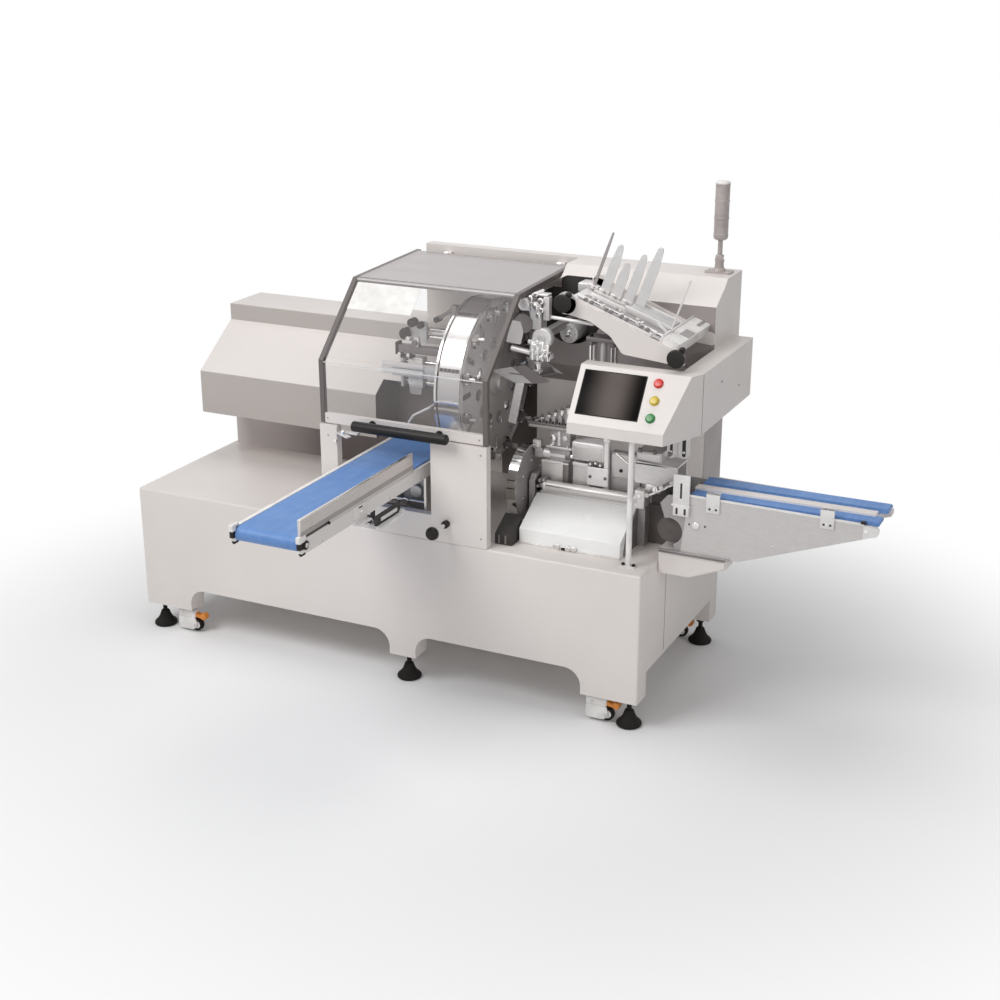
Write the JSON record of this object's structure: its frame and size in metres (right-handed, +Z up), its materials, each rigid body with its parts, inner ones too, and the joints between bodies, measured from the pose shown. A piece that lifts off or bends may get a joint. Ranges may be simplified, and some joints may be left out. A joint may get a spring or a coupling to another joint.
{
  "type": "pouch packing machine",
  "caption": "Pouch packing machine: long cabinet on feet, feed hood, drum under a lift-up guard, bag magazine, console and two belt conveyors.",
  "frame": {"origin": "on the floor, at the middle of the machine's overall length and depth", "axes": "+X along the machine to its outfeed end, +Y from the front to the back, +Z up"},
  "size_m": [3.12, 1.822, 1.994],
  "materials": {
    "cream_paint": "warm white powder coat, satin",
    "stainless_sheet": "brushed stainless sheet",
    "chromed_steel": "polished",
    "alloy_casting": "machined, satin",
    "blue_belt": "smooth blue conveyor belt",
    "black_plastic": "moulded black plastic",
    "black_rubber": "black rubber",
    "guard_grey_paint": "dark grey paint",
    "clear_pane": "clear acrylic sheet",
    "screen_glass": "dark screen",
    "grey_plastic": "grey lenses and pole",
    "button_plastic": "coloured push buttons",
    "frosted_plastic": "pale guide fingers",
    "white_zinc": "white coated caster housing"
  },
  "bodies": {
    "machine": {"base_cabinet": "cream_paint", "base_legs": "cream_paint", "levelling_feet": "black_rubber", "caster_stems": "stainless_sheet", "feed_hood": "cream_paint", "hood_rear_box": "cream_paint", "hood_support": "cream_paint", "rear_wall": "cream_paint", "rear_column": "cream_paint", "head_housing": "cream_paint", "signal_tower": "grey_plastic", "front_post": "cream_paint", "front_panel": "cream_paint", "drum_bearing": "cream_paint", "pusher_rods": "chromed_steel", "bag_gripper": "alloy_casting", "bag_spreader": "stainless_sheet", "wheel_bearing": "alloy_casting", "infeed_belt": "blue_belt", "infeed_rollers": "black_plastic", "infeed_frame": "stainless_sheet", "infeed_rail": "stainless_sheet", "infeed_support": "stainless_sheet", "seal_cover": "cream_paint", "seal_bed": "cream_paint", "seal_rail": "chromed_steel", "seal_pedestal": "alloy_casting", "seal_cylinders": "stainless_sheet", "seal_drive": "alloy_casting", "console_box": "cream_paint", "console_arm": "cream_paint", "console_post": "stainless_sheet", "touch_screen": "screen_glass", "push_buttons": "button_plastic", "magazine_plates": "cream_paint", "magazine_table": "stainless_sheet", "magazine_fingers": "frosted_plastic", "bag_picker": "alloy_casting", "outfeed_frame": "stainless_sheet", "outfeed_belts": "blue_belt", "outfeed_bracket": "cream_paint"},
    "guard": {"guard_frame": "guard_grey_paint", "guard_panes": "clear_pane", "guard_grip": "black_plastic"},
    "drum": {"drum_rim": "chromed_steel", "drum_disc": "alloy_casting", "drum_grippers": "stainless_sheet"},
    "carriage": {"pusher_carriage": "alloy_casting"},
    "lower_wheel": {"transfer_wheel": "chromed_steel"},
    "upper_handwheel": {"handwheel_upper": "black_plastic"},
    "lower_handwheel": {"handwheel_lower": "black_plastic"},
    "front_knob": {"adjusting_knob": "black_plastic"},
    "caster_front_left": {"caster_housing_front_left": "white_zinc"},
    "wheel_front_left": {"caster_wheel_front_left": "black_rubber"},
    "caster_front_right": {"caster_housing_front_right": "white_zinc"},
    "wheel_front_right": {"caster_wheel_front_right": "black_rubber"},
    "caster_back_left": {"caster_housing_back_left": "white_zinc"},
    "wheel_back_left": {"caster_wheel_back_left": "black_rubber"},
    "caster_back_right": {"caster_housing_back_right": "white_zinc"},
    "wheel_back_right": {"caster_wheel_back_right": "black_rubber"}
  },
  "joints": [
    {"name": "guard_hinge", "type": "hinge", "parent": "machine", "child": "guard", "pos_m": [-0.488, 0.8017, 1.602], "axis": [-1, 0, 0], "range_deg": [0, 80]},
    {"name": "drum_spin", "type": "hinge", "parent": "machine", "child": "drum", "pos_m": [-0.17, 0.384, 1.203], "axis": [1, 0, 0], "continuous": true},
    {"name": "pusher_slide", "type": "slide", "parent": "machine", "child": "carriage", "axis": [1, 0, 0], "range_m": [-0.015, 0.12]},
    {"name": "lower_wheel_spin", "type": "hinge", "parent": "machine", "child": "lower_wheel", "pos_m": [0.1, 0.293, 0.829], "axis": [1, 0, 0], "continuous": true},
    {"name": "upper_handwheel_turn", "type": "hinge", "parent": "machine", "child": "upper_handwheel", "pos_m": [0.318, 0.2, 1.598], "axis": [0, 1, 0], "continuous": true},
    {"name": "lower_handwheel_turn", "type": "hinge", "parent": "machine", "child": "lower_handwheel", "pos_m": [0.771, 0.2, 1.437], "axis": [0, 1, 0], "continuous": true},
    {"name": "front_knob_turn", "type": "hinge", "parent": "machine", "child": "front_knob", "pos_m": [-0.069, -0.042, 0.73], "axis": [0, 1, 0], "continuous": true},
    {"name": "caster_swivel_front_left", "type": "hinge", "parent": "machine", "child": "caster_front_left", "pos_m": [-1.378, 0.0055, 0.084], "axis": [0, 0, 1], "continuous": true},
    {"name": "caster_roll_front_left", "type": "hinge", "parent": "caster_front_left", "child": "wheel_front_left", "pos_m": [-1.332, 0.0055, 0.034], "axis": [0, 1, 0], "continuous": true},
    {"name": "caster_swivel_front_right", "type": "hinge", "parent": "machine", "child": "caster_front_right", "pos_m": [0.558, 0.0055, 0.084], "axis": [0, 0, 1], "continuous": true},
    {"name": "caster_roll_front_right", "type": "hinge", "parent": "caster_front_right", "child": "wheel_front_right", "pos_m": [0.604, 0.0055, 0.034], "axis": [0, 1, 0], "continuous": true},
    {"name": "caster_swivel_back_left", "type": "hinge", "parent": "machine", "child": "caster_back_left", "pos_m": [-1.378, 0.8635, 0.084], "axis": [0, 0, 1], "continuous": true},
    {"name": "caster_roll_back_left", "type": "hinge", "parent": "caster_back_left", "child": "wheel_back_left", "pos_m": [-1.332, 0.8635, 0.034], "axis": [0, 1, 0], "continuous": true},
    {"name": "caster_swivel_back_right", "type": "hinge", "parent": "machine", "child": "caster_back_right", "pos_m": [0.558, 0.8635, 0.084], "axis": [0, 0, 1], "continuous": true},
    {"name": "caster_roll_back_right", "type": "hinge", "parent": "caster_back_right", "child": "wheel_back_right", "pos_m": [0.604, 0.8635, 0.034], "axis": [0, 1, 0], "continuous": true}
  ]
}
